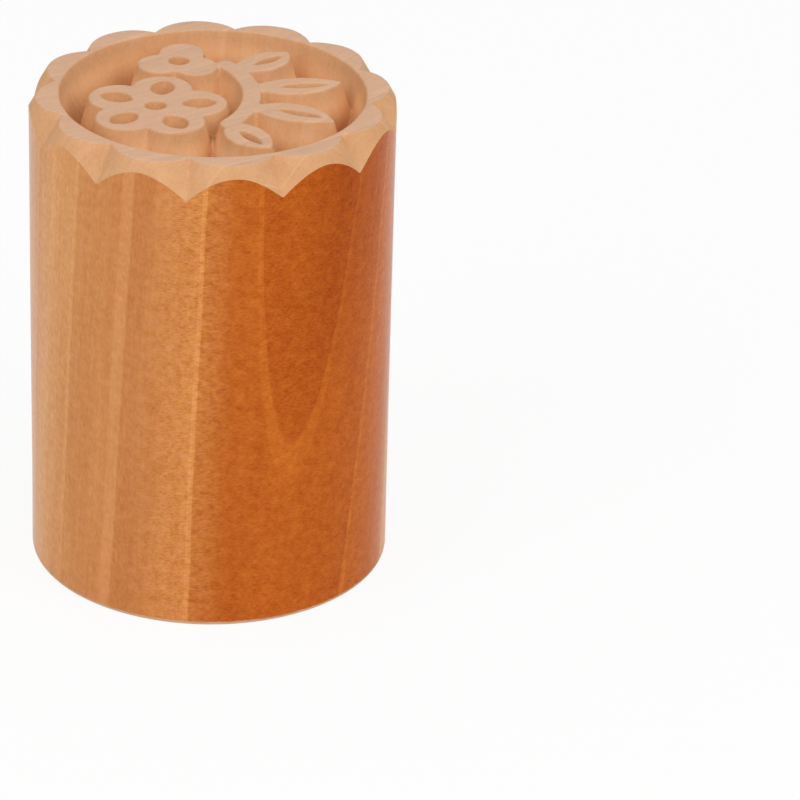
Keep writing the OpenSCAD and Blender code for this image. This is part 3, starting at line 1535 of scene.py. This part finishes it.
@dataclass(frozen=True)
class Growth:
    """The edge of one year's growth, with the pale line along it, in millimetres across the rings."""

    across: float
    width: float
    soft: float
    strength: float
    pale: float = 0.5
    dark: float = 0.4
    fading: float = 3.2

    def tone(self, board: Board, across: Socket) -> Socket:
        """The pale line, and the darker start of the next year that fades as it goes on.

        Args:
            board: The material's node tree.
            across: The place across the rings.

        Returns:
            A value above zero on the line and below zero after it.
        """
        start = self.across - self.width
        rise = board.between(across, start - self.soft, start)
        past = board.between(across, self.across, self.across + self.soft)
        line = board.sum(Op.SUBTRACT, rise, past)
        after = board.sum(Op.MULTIPLY, past, board.between(across, self.across + self.fading, self.across))
        dimmed = board.sum(Op.MULTIPLY, after, -self.dark * self.strength)
        within = board.sum(Op.MULTIPLY, board.sum(Op.MAXIMUM, line, 0.0), self.pale * self.strength)
        return board.sum(Op.ADD, within, dimmed)


@dataclass(frozen=True)
class WoodFigure:
    """The grain of the one block that the mould was cut from, in millimetres and degrees."""

    top: float
    ring_turn: float = 52.0
    twist: float = 0.005
    taper: float = 0.025
    pith_at: float = 62.0
    drift: Mark = Mark((11.0, 9.0, 30.0))
    wander: float = 0.3
    slant: float = 0.2
    fade: float = 0.01
    reach: float = 24.0
    growths: tuple[Growth, ...] = (
        Growth(-16.8, width=0.4, soft=0.2, strength=0.6),
        Growth(-11.6, width=0.3, soft=0.1, strength=0.8),
        Growth(-6.9, width=0.6, soft=0.2, strength=0.5),
        Growth(-1.4, width=0.3, soft=0.2, strength=0.4),
        Growth(6.3, width=0.3, soft=0.2, strength=0.5),
        Growth(12.1, width=0.7, soft=0.3, strength=0.9),
        Growth(17.0, width=0.15, soft=0.07, strength=1.0),
        Growth(19.1, width=0.09, soft=0.04, strength=0.9),
    )

    def read(self, board: Board) -> GrainPlace:
        """Finds where a point lies in the grain.

        Args:
            board: The material's node tree.

        Returns:
            The point in the frame's own axes, its depth below the top, and its place across the rings and
            along the grain.
        """
        node = board.node("ShaderNodeTexCoord")
        point = board.vector(Op.MULTIPLY, node.outputs["Object"], (1.0 / MM,) * 3)
        depth = board.sum(Op.SUBTRACT, self.top, board.split(point)["Z"])
        turned = board.node("ShaderNodeVectorRotate", rotation_type="Z_AXIS")
        turn = board.sum(Op.MULTIPLY_ADD, depth, self.twist, math.radians(self.ring_turn))
        board.feed(turned, Vector=point, Angle=turn)
        flat = board.vector(Op.MULTIPLY, turned.outputs[0], IN_PLAN)
        from_pith = board.vector(Op.ADD, flat, (self.pith_at, 0.0, 0.0))
        radius = board.sum(Op.SUBTRACT, board.vector(Op.LENGTH, from_pith), self.pith_at)
        tapered = board.sum(Op.MULTIPLY_ADD, depth, -self.taper, radius)
        along = board.split(turned.outputs[0])["Y"]
        drift = self.drift.read(board, board.join(tapered, along, depth))
        across = board.sum(Op.MULTIPLY_ADD, drift, self.wander, tapered)
        return GrainPlace(point, depth, across, board.join(across, along, depth))

    def year_tone(self, board: Board, place: GrainPlace) -> Socket:
        """Tone of the yearly growth: a pale line at the end of each year, with darker wood past it.

        Args:
            board: The material's node tree.
            place: The point in the grain.

        Returns:
            A value between about -0.5 and 0.5.
        """
        tone = self.growths[0].tone(board, place.across)
        for growth in self.growths[1:]:
            tone = board.sum(Op.ADD, tone, growth.tone(board, place.across))
        return tone

    def zones(self, board: Board, place: GrainPlace, stops: Iterable[tuple[float, Colour]]) -> Socket:
        """A colour that changes across the rings, on a slant to them.

        Args:
            board: The material's node tree.
            place: The point in the grain.
            stops: Places across in millimetres, and the colour at each.

        Returns:
            The colour.
        """
        slanted = board.sum(Op.MULTIPLY_ADD, board.split(place.along)["Y"], self.slant, place.across)
        node = board.node("ShaderNodeMapRange")
        place_across = board.sum(Op.MULTIPLY_ADD, place.depth, -self.fade, slanted)
        board.feed(node, Value=place_across, From_Min=-self.reach, From_Max=self.reach)
        shares = [((across + self.reach) / (2 * self.reach), colour) for across, colour in stops]
        return board.ramp(node.outputs[0], shares)


@dataclass(frozen=True)
class VarnishedWood:
    """The turned side: satin varnish over long grain, golden on one side, with a painted sheen in its palest
    colours, and worn off along the foot, where the pale line also holds a painted highlight.
    """

    figure: WoodFigure
    roughness: float = 0.24
    specular: float = 0.06
    bump: Bump = Bump(depth=0.01, strength=0.5, streaks=0.6)
    # The pale line along the foot is partly worn varnish and partly a painted highlight on the rounded foot.
    worn_and_highlight: Colour = (213, 180, 150)
    worn_and_highlight_height: float = 0.62
    worn_and_highlight_ragged: float = 0.3
    worn_roughness: float = 0.4
    # Colours across the rings. The two palest stops, at -9.0 and -1.7, hold a painted sheen on that side as
    # well as the wood's own colour.
    zones: tuple[tuple[float, Colour], ...] = (
        (-9.0, (212, 152, 102)),
        (-1.7, (219, 157, 100)),
        (4.6, (208, 140, 84)),
        (10.2, (205, 134, 78)),
        (14.4, (210, 134, 70)),
        (16.6, (193, 102, 35)),
        (19.2, (193, 99, 28)),
        (20.4, (176, 82, 14)),
    )
    golden: Span = (12.5, 16.5)
    year_weight: float = 0.36
    streak: Mark = Mark((0.42, 5.0, 24.0), detail=2.0)
    streak_weight: float = 0.26
    broad: Mark = Mark((2.6, 8.0, 34.0))
    broad_weight: float = 0.24
    cloud: Mark = Mark((1.1, 1.1, 0.9), detail=2.0)
    cloud_weights: Span = (0.36, 0.8)
    upright: Mark = Mark((0.3, 0.3, 0.62))
    upright_weight: float = 0.4
    dash: Mark = Mark((0.42, 0.42, 0.16))
    fleck: Span = (0.1, 0.24)
    fleck_weight: float = -0.07
    hue: Mark = Mark((0.8, 0.8, 0.9), detail=2.0)
    hue_offset: tuple[float, float, float] = (31.0, 17.0, 5.0)
    hue_weights: Span = (0.7, 1.3)
    dark: Gain = (0.74, 0.52, 0.34)
    pale: Gain = (1.26, 1.5, 1.9)
    gold: Gain = (0.98, 1.03, 0.78)
    rose: Gain = (1.03, 0.95, 1.26)

    def material(self) -> bpy.types.Material:
        """Makes the material.

        Returns:
            Varnish over wood, with pale bare wood along the foot that is partly worn varnish and partly a
            painted highlight.
        """
        material, board, shader = fresh_material("varnished_wood")
        place = self.figure.read(board)
        golden = board.between(place.across, *self.golden)
        streak = self.streak.read(board, place.along)
        cloud = self.cloud.read(board, place.point)
        dash = self.dash.read(board, place.point)
        upright = board.sum(Op.MULTIPLY, self.upright.read(board, place.point), self.upright_weight)
        fine = board.blend(golden, upright, dash)
        fleck = board.sum(Op.MULTIPLY, board.between(dash, *self.fleck), golden)
        mottle = board.sum(Op.MULTIPLY, cloud, board.blend(golden, *self.cloud_weights))
        marks = (
            (self.figure.year_tone(board, place), self.year_weight),
            (streak, self.streak_weight),
            (self.broad.read(board, place.along), self.broad_weight),
            (mottle, 1.0),
            (fine, 1.0),
            (fleck, self.fleck_weight),
        )
        tone = board.weigh(marks)
        hue = self.hue.read(board, board.vector(Op.ADD, place.point, self.hue_offset))
        warmth = board.sum(Op.MULTIPLY_ADD, hue, board.blend(golden, *self.hue_weights), MIDDLE_TONE)
        colour = self.figure.zones(board, place, self.zones)
        colour = board.vector(Op.MULTIPLY, colour, board.gain(tone, self.dark, self.pale))
        colour = board.vector(Op.MULTIPLY, colour, board.gain(warmth, self.gold, self.rose))
        # Pale line along the foot, fullest at the bottom edge: worn varnish with a painted highlight.
        ragged = board.sum(Op.MULTIPLY_ADD, cloud, self.worn_and_highlight_ragged, board.split(place.point)["Z"])
        worn_and_highlight_share = board.between(ragged, self.worn_and_highlight_height, self.worn_and_highlight_height / 2)
        board.put(shader.inputs["Base Color"], board.mix(worn_and_highlight_share, colour, linear(self.worn_and_highlight)))
        roughness = board.sum(Op.MULTIPLY_ADD, worn_and_highlight_share, self.worn_roughness, self.roughness)
        board.put(shader.inputs["Roughness"], roughness)
        shader.inputs["Specular IOR Level"].default_value = self.specular
        self.bump.apply(board, shader, streak, fine)
        return material


@dataclass(frozen=True)
class BareWood:
    """The cut head and the base, unvarnished: end grain on faces that look up or down, long grain on walls.

    The weights are those of the year's tone, the streaks, the mottle and the pores. The bowl's walls are
    paler than those outside near its mouth, as painted light, and darker near its floor, as painted shade;
    below the first few millimetres of the bowl these take the place of the end grain.
    """

    figure: WoodFigure
    mouth_r: float
    roughness: float = 0.75
    specular: float = 0.1
    bump: Bump = Bump(depth=0.03, strength=0.45, streaks=0.7)
    end_grain: Shades = ((204, 164, 137), (218, 175, 143), (227, 187, 154))
    long_grain: Shades = ((200, 142, 94), (216, 164, 119), (228, 182, 140))
    # Painted light: the bowl's walls get paler shades than those outside, standing in for the light that the
    # recess keeps from them.
    painted_light_grain: Shades = ((228, 172, 118), (242, 193, 143), (248, 207, 162))
    # Painted shade: dark brown for the deepest parts of the bowl, standing in for the shade that gathers
    # there.
    painted_shade_grain: Shades = ((176, 116, 74), (196, 136, 90), (212, 156, 108))
    shade_tones: tuple[float, float, float] = (0.2, MIDDLE_TONE, 0.8)
    streak: Mark = Mark((0.46, 7.0, 26.0), detail=3.0)
    mottle: Mark = Mark((1.8, 1.8, 2.6), detail=3.0)
    pore: Mark = Mark((0.22, 0.22, 0.4))
    end_weights: tuple[float, ...] = (0.3, 0.5, 0.3, 0.3)
    long_weights: tuple[float, ...] = (0.14, 0.2, 0.3, 0.3)
    looks_up: Span = (0.6, 0.98)
    mouth_soft: float = 0.2
    painted_light_depth: Span = (0.6, 3.0)
    painted_shade_depth: Span = (3.2, 5.8)

    def material(self) -> bpy.types.Material:
        """Makes the material.

        Returns:
            Bare wood.
        """
        material, board, shader = fresh_material("bare_wood")
        place = self.figure.read(board)
        streak = self.streak.read(board, place.along)
        pore = self.pore.read(board, place.point)
        marks = (self.figure.year_tone(board, place), streak, self.mottle.read(board, place.point), pore)
        end_tone = board.weigh(zip(marks, self.end_weights))
        long_tone = board.weigh(zip(marks, self.long_weights))
        facing = board.split(board.node("ShaderNodeTexCoord").outputs["Normal"])
        upward = board.between(board.sum(Op.ABSOLUTE, facing["Z"]), *self.looks_up)
        from_axis = board.vector(Op.LENGTH, board.vector(Op.MULTIPLY, place.point, IN_PLAN))
        inside = board.between(from_axis, self.mouth_r + self.mouth_soft, self.mouth_r - self.mouth_soft)
        # Painted light from a little below the mouth downwards, where the paler shades take over from both
        # long and end grain.
        sunk = board.sum(Op.MULTIPLY, inside, board.between(place.depth, *self.painted_light_depth))
        # Painted shade, darker towards the bowl's floor.
        painted_shade = board.sum(Op.MULTIPLY, inside, board.between(place.depth, *self.painted_shade_depth))
        end_share = board.sum(Op.MULTIPLY, upward, board.sum(Op.SUBTRACT, 1.0, sunk))
        colour = self._shaded(board, long_tone, self.long_grain)
        colour = board.mix(sunk, colour, self._shaded(board, long_tone, self.painted_light_grain))
        colour = board.mix(painted_shade, colour, self._shaded(board, long_tone, self.painted_shade_grain))
        colour = board.mix(end_share, colour, self._shaded(board, end_tone, self.end_grain))
        board.put(shader.inputs["Base Color"], colour)
        shader.inputs["Roughness"].default_value = self.roughness
        shader.inputs["Specular IOR Level"].default_value = self.specular
        self.bump.apply(board, shader, streak, pore)
        return material

    def _shaded(self, board: Board, tone: Socket, shades: Shades) -> Socket:
        """A colour that runs from a dark shade through a middle one to a pale one."""
        return board.ramp(tone, zip(self.shade_tones, shades))


@dataclass(frozen=True)
class SoftLamp:
    """A square soft lamp. Its level is the brightness that it alone gives a white face turned to it."""

    name: str
    azimuth: float
    elevation: float
    distance: float
    side: float
    level: float

    def hang(self, aim: Vector) -> None:
        """Hangs the lamp and turns it to a point.

        Args:
            aim: The point, in metres.
        """
        turn, rise = math.radians(self.azimuth), math.radians(self.elevation)
        away = Vector((math.sin(turn) * math.cos(rise), -math.cos(turn) * math.cos(rise), math.sin(rise)))
        data = bpy.data.lights.new(self.name, "AREA")
        data.size = self.side
        data.energy = self.level * (math.pi * self.distance) ** 2
        lamp = bpy.data.objects.new(self.name, data)
        lamp.location = aim + away * self.distance
        lamp.rotation_euler = (-away).to_track_quat("-Z", "Y").to_euler()
        bpy.context.scene.collection.objects.link(lamp)


@dataclass
class Studio:
    """A white floor, an even white surround and soft lamps."""

    fill: float = 0.48
    floor_side: float = 8.0
    floor_gap: float = 0.00002
    floor_glow: float = 0.9
    floor_white: Colour = (250, 250, 250)
    floor_roughness: float = 1.0
    floor_specular: float = 0.0
    lamps: tuple[SoftLamp, ...] = (
        SoftLamp("left_lamp", azimuth=-44.0, elevation=36.0, distance=0.9, side=0.6, level=0.28),
        SoftLamp("right_lamp", azimuth=50.0, elevation=36.0, distance=0.9, side=0.5, level=0.31),
        SoftLamp("top_lamp", azimuth=10.0, elevation=78.0, distance=0.9, side=0.6, level=0.15),
    )

    def build(self, aim: Vector) -> None:
        """Builds the floor, the surround and the lamps.

        Args:
            aim: The point that the lamps are turned to, in metres.
        """
        self._floor()
        self._surround()
        for lamp in self.lamps:
            lamp.hang(aim)

    @staticmethod
    def _seen(board: Board) -> Socket:
        """What the camera and reflections see, told apart from the light that falls on things.

        Args:
            board: The node tree.

        Returns:
            One for the first and zero for the second.
        """
        rays = board.node("ShaderNodeLightPath").outputs
        either = board.sum(Op.MAXIMUM, rays["Is Camera Ray"], rays["Is Glossy Ray"])
        return board.sum(Op.MAXIMUM, either, rays["Is Transmission Ray"])

    def _floor(self) -> None:
        """A wide floor that is white to the camera and keeps a soft shadow."""
        half = self.floor_side / 2
        mesh = bpy.data.meshes.new("floor")
        corners_in_plan = ((-half, -half), (half, -half), (half, half), (-half, half))
        mesh.from_pydata([(x, y, -self.floor_gap) for x, y in corners_in_plan], [], [(0, 1, 2, 3)])
        floor = bpy.data.objects.new("floor", mesh)
        bpy.context.scene.collection.objects.link(floor)
        material, board, shader = fresh_material("floor_white")
        shader.inputs["Base Color"].default_value = linear(self.floor_white)
        shader.inputs["Roughness"].default_value = self.floor_roughness
        shader.inputs["Specular IOR Level"].default_value = self.floor_specular
        glow = board.node("ShaderNodeEmission")
        mix = board.node("ShaderNodeMixShader")
        share = board.sum(Op.MULTIPLY, self._seen(board), self.floor_glow)
        for target, source in zip(mix.inputs, (share, shader.outputs[0], glow.outputs[0])):
            board.put(target, source)
        board.put(material.node_tree.nodes["Material Output"].inputs["Surface"], mix.outputs[0])
        mesh.materials.append(material)
        floor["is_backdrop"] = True

    def _surround(self) -> None:
        """An even surround, white where it is seen and weaker where it only lights."""
        world = bpy.data.worlds.new("surround")
        world.use_nodes = True
        board = Board(world.node_tree)
        background = world.node_tree.nodes["Background"]
        background.inputs["Color"].default_value = (1.0, 1.0, 1.0, 1.0)
        level = board.sum(Op.MULTIPLY_ADD, self._seen(board), 1.0 - self.fill, self.fill)
        board.put(background.inputs["Strength"], level)
        bpy.context.scene.world = world


@dataclass(frozen=True)
class PhotoCamera:
    """The photograph's camera, with lengths in radii of the body and angles in degrees."""

    elevation: float = 27.67
    roll: float = 1.66
    distance: float = 27.76
    aim_height: float = 1.3
    shift_right: float = -1.052
    shift_up: float = 0.371
    focal_px: float = 4990.6
    frame_px: float = 800.0
    sensor_mm: float = 36.0
    clip_start: float = 0.01

    def place(self, radius: float) -> None:
        """Places the camera.

        Args:
            radius: The body's radius in metres.
        """
        rise, roll = math.radians(self.elevation), math.radians(self.roll)
        back = Vector((0.0, -math.cos(rise), math.sin(rise)))
        right = Vector((1.0, 0.0, 0.0))
        up = back.cross(right)
        tilted_right = math.cos(roll) * right + math.sin(roll) * up
        tilted_up = -math.sin(roll) * right + math.cos(roll) * up
        spot = Vector((0.0, 0.0, self.aim_height)) + back * self.distance
        spot = (spot - tilted_right * self.shift_right - tilted_up * self.shift_up) * radius
        data = bpy.data.cameras.new("camera")
        data.sensor_width = self.sensor_mm
        data.lens = self.focal_px / self.frame_px * self.sensor_mm
        data.clip_start = self.clip_start
        camera = bpy.data.objects.new("camera", data)
        turn = Matrix((tilted_right, tilted_up, back)).transposed().to_4x4()
        camera.matrix_world = Matrix.Translation(spot) @ turn
        bpy.context.scene.collection.objects.link(camera)
        bpy.context.scene.camera = camera


def corners(box: tuple[Vector, Vector]) -> list[list[float]]:
    """Both corners of a box as plain numbers."""
    return [[float(value) for value in corner] for corner in box]


def main() -> None:
    """Builds the mould and the scene."""
    logging.basicConfig(level=logging.INFO, format="%(name)s: %(message)s")
    cad_box = corners(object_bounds())
    sizes = MouldSizes.of_node("mold")
    piece = CarvedBlock(sizes).build()
    LOG.info("%s: %d points, %d faces", piece.name, len(piece.data.vertices), len(piece.data.polygons))
    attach(piece, "root")
    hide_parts("mold")
    Studio().build(Vector((0.0, 0.0, sizes.body_h / 2 * MM)))
    PhotoCamera().place(sizes.body_r * MM)
    bpy.context.scene.view_settings.view_transform = "Standard"
    {"cad": cad_box, "visual": corners(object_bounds())}


if __name__ == "__main__":
    main()
